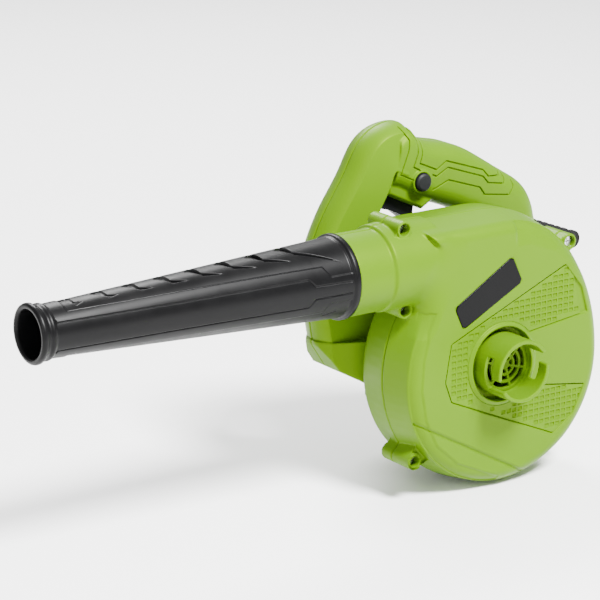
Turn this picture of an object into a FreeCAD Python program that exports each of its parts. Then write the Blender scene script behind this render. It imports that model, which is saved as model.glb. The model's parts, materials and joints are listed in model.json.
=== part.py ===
"""Corded leaf blower: snail housing with side inlet, blow nozzle, D handle and universal motor.

Frame: origin at the centre of the inlet collar's rim, on the fan axis. +Y runs along the fan axis
towards the motor, +Z is up and the nozzle points to -X. Lengths are in millimetres.
"""

import FreeCAD, Part
import math
import os

import Sketcher
from FreeCAD import Placement, Rotation, Vector

DIMENSIONS = {
    # stations along the fan axis
    "face_y": 24,  # front face of the snail housing
    "seam_y": 54,  # joint between cover and middle housing, and the duct's middle plane
    "back_y": 82,  # rear wall of the snail housing
    "loop_front": 94,
    "split_y": 114,  # joint between middle and rear housing
    "loop_back": 134,
    "tail_y": 164,
    # shells
    "skin": 3,
    "grip_skin": 2.6,
    # snail outline: one large arc, then two that open out towards the duct
    "scroll_x": 5,
    "scroll_z": -4.5,
    "scroll_r": 86.6,
    "flank_r": 130,
    "flank_turn": 35,
    "duct_z": 75,
    "duct_top": 104,
    "duct_r": 28.5,
    "duct_bore": 25.5,
    "duct_reach": 120,
    # inlet
    "inlet_bore": 19.4,
    "inlet_tube": 22.2,
    "dish_r": 26.4,
    "ring_r": 28.4,
    "collar_deep": 20,
    "slot_deep": 16,
    "slot_leg": 7,
    "grille_hole": 17.5,
    # screws
    "boss_r": 6,
    "screw_bore": 4.25,
    "screw_r": 2,
    "screw_head_r": 3.8,
    # nozzle
    "nozzle_reach": 358,
    "nozzle_big": 29,
    "nozzle_small": 17.5,
    "nozzle_mouth": 16,
    "nozzle_lip": 20.1,
    "nozzle_skin": 2.4,
    "spigot_r": 25.1,
    "lug_out": 26.9,
    # motor
    "barrel_r": 50,
    "stator_r": 43,
    "stator_bore": 21.6,
    "core_r": 21,
    "core_front": 107,
    "core_back": 137,
    "shaft_r": 4,
    "shaft_front": 33,
    "shaft_back": 159,
    "bearing_r": 11,
    "brush_y": 147,
    "commutator_r": 12,
    "commutator_front": 142.3,
    "commutator_back": 150.5,
    # fan
    "fan_r": 67,
    "fan_front": 42,
    "fan_back": 76,
    "fan_hub": 11,
    "fan_eye": 22,
    "cool_front": 92,
    "cool_back": 100,
    # handle
    "button_x": -19,
    "button_z": 118,
    "button_r": 6.35,
    "ring_out": 8.2,
    "pivot_x": -42,
    "pivot_z": 113.2,
    "pin_r": 1.5,
    "pin_half": 12.3,
    "gland_x": 87,
    "gland_z": 67.5,
    "gland_tilt": 21,
    "gland_long": 54,
    "gland_r": 6.6,
    "cord_r": 3.6,
}

doc = FreeCAD.newDocument("leaf_blower")
sheet = doc.addObject("Spreadsheet::Sheet", "sizes")
for row, (word, number) in enumerate(DIMENSIONS.items(), start=1):
    sheet.set(f"A{row}", word)
    sheet.set(f"B{row}", str(number))
    sheet.setAlias(f"B{row}", word)
doc.recompute()

nodes = []


class Size:
    """A length with its value and the spreadsheet formula that gives it."""

    def __init__(self, value, formula):
        self.value = value
        self.formula = formula

    def join(self, sign, other, value):
        formula = other.formula if isinstance(other, Size) else str(other)
        return Size(value, f"({self.formula} {sign} {formula})")

    def __add__(self, other):
        return self.join("+", other, self.value + float(other))

    def __sub__(self, other):
        return self.join("-", other, self.value - float(other))

    def __mul__(self, other):
        return self.join("*", other, self.value * float(other))

    def __truediv__(self, other):
        return self.join("/", other, self.value / float(other))

    def __neg__(self):
        return Size(-self.value, f"(0 - {self.formula})")

    def __float__(self):
        return float(self.value)


class Sizes:
    """Reads the spreadsheet: S.wall is the cell named wall."""

    def __getattr__(self, word):
        return Size(float(sheet.get(word)), f"sizes.{word}")


S = Sizes()
AXIS_TURN = {
    "X": Rotation(Vector(0, 1, 0), 90),
    "Y": Rotation(Vector(1, 0, 0), -90),
    "Z": Rotation(),
}


def bind(item, name, size):
    """Sets a property, and ties it to the spreadsheet when the size comes from there."""
    if isinstance(size, Size):
        item.setExpression(name, size.formula)
    elif "." not in name:
        setattr(item, name, size)


def put(item, spot, rotation=None):
    """Places an object at a spot whose coordinates may be spreadsheet sizes."""
    item.Placement = Placement(Vector(*[float(part) for part in spot]), rotation or Rotation())
    for letter, size in zip("xyz", spot):
        bind(item, f"Placement.Base.{letter}", size)


def node(item, label):
    """Names an object as one of the finished sub-parts."""
    item.Label = label
    nodes.append(item)
    return item


# ---------------------------------------------------------------- primitives and booleans


def rod(name, radius, start, end, across=(0, 0), axis="Y"):
    """Cylinder from one station to another along an axis; across gives its other two coordinates."""
    item = doc.addObject("Part::Cylinder", name)
    bind(item, "Radius", radius)
    bind(item, "Height", Size(0, "0") + end - start)
    spot = {"X": (start, *across), "Y": (across[0], start, across[1]), "Z": (*across, start)}[axis]
    put(item, spot, AXIS_TURN[axis])
    return item


def block(name, low, high):
    """Box between two corners."""
    item = doc.addObject("Part::Box", name)
    for side, start, end in zip(("Length", "Width", "Height"), low, high):
        bind(item, side, Size(0, "0") + end - start)
    put(item, low)
    return item


def cut(name, base, tool):
    item = doc.addObject("Part::Cut", name)
    item.Base = base
    item.Tool = tool
    return item


def fuse(name, *items):
    item = doc.addObject("Part::MultiFuse", name)
    item.Shapes = list(items)
    return item


def tube(name, outer, inner, start, end, across=(0, 0), axis="Y"):
    wall = rod(name + "_outside", outer, start, end, across, axis)
    hole = rod(name + "_inside", inner, start, end, across, axis)
    return cut(name, wall, hole)


def sector(name, radius, half_angle, middle, start, end):
    """Slice of a cylinder on the fan axis, opening to either side of the middle direction."""
    item = rod(name, radius, start, end)
    item.Angle = 2 * half_angle
    turn = Rotation(Vector(0, 1, 0), -half_angle - middle)
    item.Placement = Placement(item.Placement.Base, turn.multiply(AXIS_TURN["Y"]))
    return item


# ---------------------------------------------------------------- sketched bodies


def new_body(name, spot=(0, 0, 0), rotation=None):
    body = doc.addObject("PartDesign::Body", name)
    put(body, spot, rotation)
    return body


def outline(body, plane, points):
    """Closed sketch through the points, each coordinate held by a constraint."""
    sketch = body.newObject("Sketcher::SketchObject", body.Name + "_sketch")
    base = [item for item in body.Origin.OriginFeatures if item.Role == plane][0]
    sketch.AttachmentSupport = [(base, "")]
    sketch.MapMode = "FlatFace"
    spots = [Vector(float(across), float(up), 0) for across, up in points]
    for start, end in zip(spots, spots[1:] + spots[:1]):
        sketch.addGeometry(Part.LineSegment(start, end), False)
    for line in range(len(points)):
        following = (line + 1) % len(points)
        sketch.addConstraint(Sketcher.Constraint("Coincident", line, 2, following, 1))
    for line, pair in enumerate(points):
        for kind, axis, size in zip(("DistanceX", "DistanceY"), (-2, -1), pair):
            hold(sketch, line, kind, axis, size)
    return sketch


def hold(sketch, line, kind, axis, size):
    """Fixes one coordinate of a line's first point."""
    if abs(float(size)) < 1e-9:
        sketch.addConstraint(Sketcher.Constraint("PointOnObject", line, 1, axis))
        return
    index = sketch.addConstraint(Sketcher.Constraint(kind, -1, 1, line, 1, float(size)))
    if isinstance(size, Size):
        sketch.setExpression(f"Constraints[{index}]", size.formula)


def turned(name, points, spot=(0, 0, 0), rotation=None):
    """Body turned about its own X axis from (station, radius) points, on the fan axis by default."""
    body = new_body(name, spot, rotation or Rotation(Vector(0, 0, 1), 90))
    sketch = outline(body, "XY_Plane", points)
    feature = body.newObject("PartDesign::Revolution", name + "_turn")
    feature.Profile = sketch
    feature.ReferenceAxis = (sketch, ["H_Axis"])
    feature.Angle = 360
    return body


def padded(name, points, start, end):
    """Body of a flat outline in X and Z, as thick as from start to end along Y."""
    body = new_body(name, (0, start, 0))
    sketch = outline(body, "XZ_Plane", points)
    pad = body.newObject("PartDesign::Pad", name + "_pad")
    pad.Profile = sketch
    bind(pad, "Length", Size(0, "0") + end - start)
    pad.Reversed = True
    return body


# ---------------------------------------------------------------- housing shells


def heading(degrees):
    """Unit vector in the XZ plane, turned from +X towards +Z."""
    angle = math.radians(degrees)
    return Vector(math.cos(angle), 0, math.sin(angle))


def arc(centre, radius, first, last):
    spots = [centre + heading(angle) * radius for angle in (first, (first + last) / 2, last)]
    return Part.Arc(*spots).toShape()


def flat(points, station):
    """Polygon through (x, z) points at a station along Y."""
    spots = [Vector(x, station, z) for x, z in points]
    return Part.makePolygon(spots + spots[:1])


def slab(points, start, end):
    """Solid between two stations along Y with an (x, z) outline."""
    return Part.Face(flat(points, start)).extrude(Vector(0, end - start, 0))


def y_rod(radius, start, end, x=0, z=0):
    return Part.makeCylinder(radius, end - start, Vector(x, start, z), Vector(0, 1, 0))


def x_rod(radius, start, end, y, z):
    return Part.makeCylinder(radius, end - start, Vector(start, y, z), Vector(1, 0, 0))


def rim_edges(solid, station):
    """The edges that lie in the plane across Y at a station."""
    found = []
    for edge in solid.Edges:
        box = edge.BoundBox
        if abs(box.YMin - station) < 1e-4 and abs(box.YMax - station) < 1e-4:
            found.append(edge)
    return found


NOTCH_TOP = (-71, 111)
NOTCH_TIP = (-47, 83)
NOTCH_FOOT = (-66, 46)
SCROLL_START = 144  # where the large arc starts, in degrees
SCROLL_LEFT = -66


def scroll_wire(inset, station):
    """Snail outline, drawn in by the inset. Its arcs meet in line."""
    scroll_r = float(S.scroll_r)
    flank_r = float(S.flank_r)
    turn = float(S.flank_turn)
    main = Vector(float(S.scroll_x), station, float(S.scroll_z))
    flank = main + Vector(scroll_r - flank_r, 0, 0)
    corner = flank + heading(turn) * flank_r
    top = float(S.duct_top)
    crown_r = (top - corner.z) / (1 - math.sin(math.radians(turn)))
    crown = corner - heading(turn) * crown_r
    first = main + heading(SCROLL_START) * (scroll_r - inset)
    crest = crown + heading(90) * (crown_r - inset)
    left = Vector(SCROLL_LEFT + inset, station, top - inset)
    edges = [
        arc(main, scroll_r - inset, SCROLL_START, 360),
        arc(flank, flank_r - inset, 0, turn),
        arc(crown, crown_r - inset, turn, 90),
        Part.makeLine(crest, left),
        Part.makeLine(left, first),
    ]
    return Part.Wire(edges)


def scroll_block(inset, start, end, draft, soft):
    """Snail-shaped solid that narrows by the draft and has a soft edge at its end."""
    wires = [scroll_wire(inset, start), scroll_wire(inset + draft, end)]
    block_shape = Part.makeLoft(wires, True, True)
    return block_shape.makeFillet(soft, rim_edges(block_shape, end))


def notch(shift, start, end):
    """The corner under the duct's shoulder that the snail leaves to the round duct."""
    corner = [NOTCH_TOP, NOTCH_TIP, NOTCH_FOOT]
    near = [(x + shift, z) for x, z in corner]
    return slab(near + [(-140, 40), (-140, 130), (-75, 130)], start, end)


# x, z, front station and rear station of each cover screw's boss, and where its web meets the snail
BOSSES = {
    "top_left": (-77.3, 104.7, 35, 70, (-77, 88)),
    "mid_left": (-73, 46.7, 39, 62, (-58, 52)),
    "top_right": (74.6, 71.3, 44, 72, (58, 58)),
    "bottom_left": (-67, -61.8, 34, 66, (-50, -50)),
    "bottom_right": (74.8, -63.8, 45, 68, (56, -50)),
}
WEB_FLARE = 1.75  # how much wider a web is at the snail than at its boss


def boss_shape(x, z, front, back, root):
    """Round boss with a flared web down to the snail."""
    radius = float(S.boss_r)
    along = Vector(root[0] - x, 0, root[1] - z)
    along.normalize()
    side = Vector(-along.z, 0, along.x)
    centre = Vector(x, 0, z)
    foot = Vector(root[0], 0, root[1])
    corners = [
        centre + side * radius,
        foot + side * radius * WEB_FLARE,
        foot - side * radius * WEB_FLARE,
        centre - side * radius,
    ]
    web = slab([(spot.x, spot.z) for spot in corners], front + 1.5, back - 1)
    return y_rod(radius, front, back, x, z).fuse(web)


def all_bosses():
    shapes = [boss_shape(*boss) for boss in BOSSES.values()]
    return shapes[0].multiFuse(shapes[1:])


def duct_outside():
    """Round duct with its collar, and the thicker shoulder behind the collar."""
    radius = float(S.duct_r)
    seam = float(S.seam_y)
    level = float(S.duct_z)
    reach = -float(S.duct_reach)
    duct = x_rod(radius, reach, 3, seam, level)
    shoulder = x_rod(radius + 1.8, -91.5, -48, seam, level + 0.8)
    shoulder = shoulder.makeChamfer(1.2, shoulder.Edges)
    return duct.fuse(shoulder)


def duct_inside():
    """Air way, with the nozzle lugs' groove and their two entry slots."""
    seam = float(S.seam_y)
    level = float(S.duct_z)
    reach = -float(S.duct_reach)
    groove_r = float(S.lug_out) + 0.35
    way = x_rod(float(S.duct_bore), reach - 1, 4, seam, level)
    groove = x_rod(groove_r, reach + 7.5, reach + 14, seam, level)
    slot = Part.makeBox(8.5, 7, 2 * groove_r, Vector(reach - 1, seam - 3.5, level - groove_r))
    slot = slot.common(x_rod(groove_r, reach - 2, reach + 14, seam, level))
    slot.rotate(Vector(0, seam, level), Vector(1, 0, 0), 55)
    return way.multiFuse([groove, slot])


def y_half(low, high):
    """Everything between two stations along Y."""
    return Part.makeBox(900, high - low, 900, Vector(-450, low, -450))


def screw_holes(deep_bore):
    """Through holes of the cover screws, with the heads' counterbores where asked."""
    holes = []
    for x, z, front, back, _ in BOSSES.values():
        holes.append(y_rod(float(S.screw_r) + 0.25, front - 1, float(S.seam_y) + 0.5, x, z))
        if deep_bore:
            holes.append(y_rod(float(S.screw_bore), front - 1, bore_floor(front), x, z))
    return holes[0].multiFuse(holes[1:])


def bore_floor(front):
    """Station of the shelf that a cover screw's head bears on."""
    return min(front + 10, float(S.seam_y) - 4)


# ---------------------------------------------------------------- handle limbs

# Each station of a limb is a pair of (x, z) points: on its outer line and on its inner line.
STRUT = [
    ((-25, 157), (-30, 124)),
    ((-42, 158.5), (-38, 128)),
    ((-59, 148.5), (-42, 126)),
    ((-70, 131), (-46, 117)),
    ((-86, 106), (-55, 101)),
    ((-98.5, 82), (-65, 80)),
    ((-105, 58), (-68, 60)),
    ((-102, 36), (-60, 44)),
    ((-99, 18), (-52, 30)),
    ((-96.5, 8), (-46, 20)),
    ((-92, -1), (-40, 10)),
]
GRIP = [
    ((-34, 153), (-42, 114)),
    ((-19, 150.5), (-29, 109)),
    ((12, 139.5), (-3, 98.7)),
    ((40, 126), (22, 88.7)),
    ((62, 112.5), (41, 81)),
    ((79, 100), (53, 75)),
    ((87.5, 84), (59, 68)),
    ((89.5, 66), (60, 59)),
    ((84, 46), (54, 48)),
    ((70, 28), (38, 34)),
]
GUARD = [(-46, 126), (-44, 110.4), (-14, 96.3), (-4, 102), (-4, 120)]
STRUT_CROWN = 6  # how far the strut's outer face is domed
STRUT_CREASE = 15  # half width between its two creases
STRUT_HALF = 20
GRIP_HALF = 19.5
GRIP_CORNER = 13


def section_frame(pair, inset):
    """Foot, direction and height of a limb's section, drawn in by the inset at both ends."""
    outer = Vector(pair[0][0], 0, pair[0][1])
    foot = Vector(pair[1][0], 0, pair[1][1])
    across = outer - foot
    height = across.Length - 2 * inset
    across.normalize()
    return foot + across * inset, across, height


def strut_section(pair, inset, middle):
    """Tapered section with a domed outer face and a crease on either side of it."""
    foot, across, height = section_frame(pair, inset)
    side = Vector(0, 1, 0)
    foot = foot + side * middle
    half = STRUT_HALF - inset
    crease = STRUT_CREASE - 0.8 * inset
    shoulder = foot + across * (height - STRUT_CROWN)
    left = foot - side * half
    right = foot + side * half
    left_crease = shoulder - side * crease
    right_crease = shoulder + side * crease
    dome = Part.Arc(right_crease, foot + across * height, left_crease).toShape()
    runs = [
        Part.makeLine(left, right),
        Part.makeLine(right, right_crease),
        dome,
        Part.makeLine(left_crease, left),
    ]
    return Part.Wire(runs)


def grip_section(pair, inset, middle):
    """Rounded oblong section."""
    foot, across, height = section_frame(pair, inset)
    side = Vector(0, 1, 0)
    foot = foot + side * middle
    half = GRIP_HALF - inset
    corner = GRIP_CORNER - inset
    centres = [(half - corner, corner), (half - corner, height - corner)]
    centres += [(corner - half, height - corner), (corner - half, corner)]
    bends = []
    for index, (out, up) in enumerate(centres):
        angles = [math.radians(90 * index + turn) for turn in (-90, -45, 0)]
        centre = foot + side * out + across * up
        spots = []
        for angle in angles:
            spots.append(centre + side * (corner * math.cos(angle)) + across * (corner * math.sin(angle)))
        bends.append(Part.Arc(*spots).toShape())
    edges = []
    for bend, following in zip(bends, bends[1:] + bends[:1]):
        edges.append(bend)
        edges.append(Part.makeLine(bend.lastVertex().Point, following.firstVertex().Point))
    return Part.Wire(edges)


def between(pair, other, share):
    """Pair of points part of the way from one station to another."""
    moved = []
    for (x, z), (other_x, other_z) in zip(pair, other):
        moved.append((x + (other_x - x) * share, z + (other_z - z) * share))
    return tuple(moved)


def limb(section, pairs, skin, last_share):
    """Solid limb through its stations, and its hollow, which ends a share short of the last or past it."""
    middle = float(S.split_y)
    outside = Part.makeLoft([section(pair, 0, middle) for pair in pairs], True, False)
    first = between(pairs[0], pairs[1], 0.25)
    last = between(pairs[-1], pairs[-2], last_share)
    inner_pairs = [first, *pairs[1:-1], last]
    inside = Part.makeLoft([section(pair, skin, middle) for pair in inner_pairs], True, False)
    return outside, inside


def guard_limb(skin):
    """Short guard around the trigger's slot, under the front of the grip."""
    reach = STRUT_HALF - 5
    middle = float(S.split_y)
    outside = slab(GUARD, middle - reach, middle + reach)
    rims = rim_edges(outside, middle - reach) + rim_edges(outside, middle + reach)
    outside = outside.makeChamfer(2, rims)
    shell_face = Part.Face(flat(GUARD, middle - reach + skin)).makeOffset2D(-skin, 2)
    inside = shell_face.extrude(Vector(0, 2 * (reach - skin), 0))
    return outside, inside


# The strut's foot: its outline in X and Z, and its plan in X and Y, which slants forward to the snail
FOOT_SIDE = [(-101.5, 30), (-98.7, 9), (-87, -9), (-40, -35), (-40, 30)]
FOOT_FRONT = [(-60, 78), (-62, 84), (-92, 98), (-98, 106)]
FOOT_PLAN = FOOT_FRONT + [(-100, 114), (-98, 122), (-92, 129), (0, 129), (0, 78)]
FOOT_TOP = 12
FOOT_DOWN = -60


def foot_limb(skin):
    """The strut's foot, carried forward to the snail."""
    spots = [Vector(x, y, FOOT_DOWN) for x, y in FOOT_PLAN]
    plan = Part.Face(Part.makePolygon(spots + spots[:1]))
    side = Part.Face(flat(FOOT_SIDE, 70))
    depth = Vector(0, 90, 0)
    outside = side.extrude(depth).common(plan.extrude(Vector(0, 0, FOOT_TOP - FOOT_DOWN)))
    inner_side = side.makeOffset2D(-skin, 2).extrude(depth)
    inner_plan = plan.makeOffset2D(-skin, 2).extrude(Vector(0, 0, FOOT_TOP - FOOT_DOWN - skin))
    return outside, inner_side.common(inner_plan)


# ---------------------------------------------------------------- the three housings

FIELD_LEFT = [(54.7, 62.9), (-44.9, 21.3), (-49.7, -5.5), (-44.1, -20.8), (46.2, -59.8)]
FIELD_RIGHT = [(64, -48), (78, -20), (80, 10), (70, 44)]
FIELD = FIELD_LEFT + FIELD_RIGHT
WEDGE = [(8, 16.7), (66.9, 23.8), (95, 27), (95, -29), (73.2, -27.4), (42, -22.5), (0, -16)]
LABEL = [(7.2, 76.4), (16.5, 56.7), (-35.3, 29.9), (-42.9, 46.5)]
FIELD_DEEP = 1.8
LABEL_DEEP = 0.6
SLOT_OPEN = 26  # degrees of the collar taken by a bayonet slot's mouth
SLOT_TURN = 64  # degrees taken by the leg at its base
SLOT_STARTS = (32, 216)  # where the slots begin, in degrees from +X towards +Z


def pie(radius, start, end, first, turn):
    """Slice of a rod on the fan axis, clockwise from the first angle as seen from the inlet."""
    slice_shape = Part.makeCylinder(radius, end - start, Vector(), Vector(0, 0, 1), turn)
    slice_shape.rotate(Vector(), Vector(1, 0, 0), 90)
    slice_shape.rotate(Vector(), Vector(0, 1, 0), turn - first)
    slice_shape.translate(Vector(0, end, 0))
    return slice_shape


def inlet_collar(cover):
    """Dish, ring and slotted collar around the inlet."""
    face = float(S.face_y)
    tube_r = float(S.inlet_tube)
    bore = float(S.inlet_bore)
    deep = float(S.collar_deep)
    floor = face + 7
    lip = Part.makeTorus(float(S.ring_r) - 1.2, 1.2, Vector(0, face, 0), Vector(0, 1, 0))
    backing = y_rod(float(S.ring_r) + 1.6, face + 0.5, floor + 3)
    collar = y_rod(tube_r, 0, floor + 1)
    dish = y_rod(float(S.dish_r), face - 3, floor).cut(y_rod(tube_r, face - 4, floor + 1))
    shape = cover.multiFuse([lip, backing]).cut(dish).fuse(collar)
    openings = [
        y_rod(bore, -1, deep),
        y_rod(bore - 0.5, deep - 1, face),
        y_rod(float(S.grille_hole), face - 1, floor + 5),
    ]
    for start in SLOT_STARTS:
        leg_front = float(S.slot_deep) - float(S.slot_leg)
        openings.append(pie(tube_r + 1, -1, float(S.slot_deep), start, SLOT_OPEN))
        openings.append(pie(tube_r + 1, leg_front, float(S.slot_deep), start, SLOT_TURN))
    return shape.cut(openings[0].multiFuse(openings[1:]))


def cover_face(cover):
    """Sunk textured field and the label's shallow seat."""
    face = float(S.face_y)
    field = slab(FIELD, face - 2, face + FIELD_DEEP)
    keep = slab(WEDGE, face - 3, face + 3).fuse(y_rod(float(S.ring_r) + 1.2, face - 3, face + 3))
    seat = slab(LABEL, face - 2, face + LABEL_DEEP)
    return cover.cut(field.cut(keep)).cut(seat)


def volute_cover():
    seam = float(S.seam_y)
    face = float(S.face_y)
    skin = float(S.skin)
    snail = scroll_block(0, seam, face, 5, 9).cut(notch(0, 0, seam))
    outside = snail.multiFuse([duct_outside(), all_bosses()]).common(y_half(0, seam))
    hollow = scroll_block(skin, seam, face + skin + FIELD_DEEP, 5, 7).cut(notch(skin, 0, seam + 1))
    shell = outside.cut(hollow).cut(duct_inside()).cut(screw_holes(True))
    return inlet_collar(cover_face(shell))


def snail_rear():
    """Rear half of the snail, solid and hollow."""
    seam = float(S.seam_y)
    back = float(S.back_y)
    skin = float(S.skin)
    outside = scroll_block(0, seam, back, 2, 6).cut(notch(0, seam - 1, back + 1))
    hollow = scroll_block(skin, seam, back - skin, 2, 4).cut(notch(skin, seam - 1, back + 1))
    return outside, hollow


def barrel():
    """Motor barrel, solid and hollow."""
    radius = float(S.barrel_r)
    skin = float(S.skin)
    back = float(S.back_y)
    tail = float(S.tail_y)
    outside = y_rod(radius, back - 1, tail)
    outside = outside.makeFillet(11, rim_edges(outside, tail))
    hollow = y_rod(radius - skin, back, tail - skin)
    hollow = hollow.makeFillet(8, rim_edges(hollow, tail - skin))
    return outside, hollow


def slots_round(radius, start, end, angles, width):
    """Vent slots through the barrel's wall, along the fan axis."""
    cutters = []
    for angle in angles:
        cutter = Part.makeBox(14, end - start, width, Vector(radius - 8, start, -width / 2))
        cutter.rotate(Vector(), Vector(0, 1, 0), -angle)
        cutters.append(cutter)
    return cutters[0].multiFuse(cutters[1:])


def motor_ribs(start, end):
    """Four ribs that hold the stator in the barrel."""
    inner = float(S.stator_r) + 0.05
    outer = float(S.barrel_r) - 1
    ribs = []
    for angle in (45, 135, 225, 315):
        rib = Part.makeBox(outer - inner, end - start, 5, Vector(inner, start, -2.5))
        rib.rotate(Vector(), Vector(0, 1, 0), -angle)
        ribs.append(rib)
    return ribs


# x, z of the screws that hold the rear housing: those inside the handle, and those in ears on the barrel
HANDLE_SCREWS = [(-47, 138), (-78, 92), (-80, 18), (25, 119), (74, 84)]
EAR_SCREWS = [(37, -40), (-37, -40)]
HOUSING_SCREWS = HANDLE_SCREWS + EAR_SCREWS
POST_R = 5.6
POST_DEEP = 16  # how far a post reaches into the middle housing
HEAD_SEAT = 124  # station that the heads of these screws bear on


def ears(start, end):
    return [y_rod(POST_R, start, end, x, z) for x, z in EAR_SCREWS]


def inner_posts(start, end, outsides):
    """Posts inside the handle, trimmed to its outer surface."""
    rods = [y_rod(POST_R, start, end, x, z) for x, z in HANDLE_SCREWS]
    body = outsides[0].multiFuse(outsides[1:])
    return rods[0].multiFuse(rods[1:]).common(body)


def gland_way():
    """Straight way of the cord gland through the rear post of the grip."""
    tilt = float(S.gland_tilt)
    start = Vector(float(S.gland_x), float(S.split_y), float(S.gland_z))
    along = heading(-tilt)
    neck = Part.makeCylinder(float(S.gland_r) + 0.05, 14, start - along * 10, along)
    groove = Part.makeCylinder(float(S.gland_r) + 2.05, 2.1, start - along * 6, along)
    return neck.fuse(groove)


def gland_block():
    """Thick wall around the gland, where the rear post steps out."""
    start = Vector(float(S.gland_x), float(S.split_y), float(S.gland_z))
    along = heading(-float(S.gland_tilt))
    return Part.makeCylinder(float(S.gland_r) + 4, 12, start - along * 8.5, along)


TRIGGER_SLOT = [(-45.4, 121), (-46.5, 108), (-50, 100), (-44, 92), (-15, 91), (-11.5, 99), (-17, 112)]
SLOT_HALF = 8


def trigger_slot():
    """Gap in the guard and in the grip's underside that the trigger swings through."""
    middle = float(S.split_y)
    return slab(TRIGGER_SLOT, middle - SLOT_HALF, middle + SLOT_HALF)


def pin_boss(limbs, side):
    """Boss beside the slot that holds one end of the trigger's pin, trimmed to the outer surface."""
    middle = float(S.split_y)
    start, end = sorted((middle + side * (SLOT_HALF + 0.3), middle + side * (float(S.pin_half) + 1)))
    boss = y_rod(float(S.pin_r) + 1.6, start, end, float(S.pivot_x), float(S.pivot_z))
    return boss.common(limbs[0].multiFuse(limbs[1:]))


def pin_hole():
    middle = float(S.split_y)
    deep = float(S.pin_half) + 0.05
    return y_rod(float(S.pin_r) + 0.02, middle - deep, middle + deep, float(S.pivot_x), float(S.pivot_z))


def button_hole():
    front = float(S.loop_front)
    return y_rod(float(S.button_r) + 0.3, front - 6, front + 12, float(S.button_x), float(S.button_z))


def button_ring():
    front = float(S.loop_front)
    return y_rod(float(S.ring_out), front - 1.5, front + 7, float(S.button_x), float(S.button_z))


def handle_solids():
    """Outsides and hollows of the handle's limbs."""
    skin = float(S.grip_skin)
    strut = limb(strut_section, STRUT, skin, 0.12)
    grip = limb(grip_section, GRIP, skin, -0.3)
    limbs = [strut, grip, guard_limb(skin), foot_limb(skin)]
    return [pair[0] for pair in limbs], [pair[1] for pair in limbs]


def housing_solid(outsides, hollows, low, high):
    outside = outsides[0].multiFuse(outsides[1:]).common(y_half(low, high))
    hollow = hollows[0].multiFuse(hollows[1:])
    return outside.cut(hollow)


def clear_of_motor():
    """Room that the limbs' walls leave for the motor and for the fan chamber."""
    back = float(S.back_y)
    return y_rod(float(S.barrel_r) - float(S.skin), back, float(S.tail_y) - float(S.skin) - 9)


def middle_housing(handle):
    seam = float(S.seam_y)
    back = float(S.back_y)
    split = float(S.split_y)
    tight = float(S.screw_r) + 0.02
    snail, hollow = snail_rear()
    drum, room = barrel()
    limbs, rooms = handle
    outsides = [snail, duct_outside(), all_bosses(), drum, *limbs, button_ring(), gland_block()]
    shell = housing_solid(outsides, rooms + [room], seam, split)
    chamber = hollow.fuse(duct_inside()).fuse(clear_of_motor())
    seat = y_rod(float(S.bearing_r) + 3.5, back - 1, back + 9)
    posts = inner_posts(split - POST_DEEP, split, limbs)
    extras = [seat, posts, pin_boss(limbs, -1), *motor_ribs(float(S.core_front) - 1, split)]
    extras += ears(split - POST_DEEP, split)
    shell = shell.cut(chamber).multiFuse(extras)
    openings = [
        y_rod(float(S.bearing_r), back + 1, back + 10),
        y_rod(float(S.shaft_r) + 2, back - 4, back + 2),
        screw_holes(False),
        trigger_slot(),
        button_hole(),
        gland_way(),
        slots_round(float(S.barrel_r), back + 4, back + 16, range(200, 341, 14), 4),
        pin_hole(),
        *[y_rod(tight, split - POST_DEEP + 1, split + 1, x, z) for x, z in HOUSING_SCREWS],
    ]
    for x, z, _, boss_back, _ in BOSSES.values():
        openings.append(y_rod(tight, seam - 1, boss_back - 1.5, x, z))
    return shell.cut(openings[0].multiFuse(openings[1:]))


def rear_housing(handle):
    split = float(S.split_y)
    tail = float(S.tail_y)
    skin = float(S.skin)
    drum, room = barrel()
    limbs, rooms = handle
    shell = housing_solid([drum, *limbs, gland_block()], rooms + [room], split, tail)
    seat = y_rod(float(S.bearing_r) + 3, tail - 12, tail - 1)
    posts = inner_posts(split, tail, limbs)
    extras = [seat, posts, pin_boss(limbs, 1), *motor_ribs(split, float(S.core_back) + 1)]
    extras += ears(split, HEAD_SEAT + 4)
    brush = float(S.brush_y)
    rim = float(S.barrel_r) + 0.5
    ports = [x_rod(7, start, end, brush, 0) for start, end in ((-rim, -40), (40, rim))]
    vents = [*range(40, 141, 14), *range(220, 321, 14)]
    shell = shell.cut(clear_of_motor()).multiFuse(extras + ports)
    openings = [
        y_rod(float(S.bearing_r), tail - 13, tail - skin - 0.5),
        trigger_slot(),
        gland_way(),
        x_rod(5.2, -float(S.barrel_r) - 5, float(S.barrel_r) + 5, brush, 0),
        slots_round(float(S.barrel_r), tail - 34, tail - 22, vents, 4),
        tail_slots(),
        pin_hole(),
        *[y_rod(float(S.screw_r) + 0.25, split - 1, HEAD_SEAT + 1, x, z) for x, z in HOUSING_SCREWS],
        *[y_rod(float(S.screw_head_r) + 0.3, HEAD_SEAT, tail + 1, x, z) for x, z in HOUSING_SCREWS],
    ]
    return shell.cut(openings[0].multiFuse(openings[1:]))


def tail_slots():
    """Arc-shaped air slots in the end of the barrel."""
    tail = float(S.tail_y)
    slots = []
    for inner in (19, 26, 33):
        band = y_rod(inner + 3.6, tail - 5, tail + 1).cut(y_rod(inner, tail - 6, tail + 2))
        for first in (80, 170, 260, 350):
            slots.append(band.common(pie(60, tail - 6, tail + 2, first, 70)))
    return slots[0].multiFuse(slots[1:])


def shell_node(name, shape):
    item = doc.addObject("Part::Feature", name)
    item.Shape = shape
    item.Placement = Placement()
    return node(item, name)


# ---------------------------------------------------------------- inlet, label and nozzle


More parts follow.
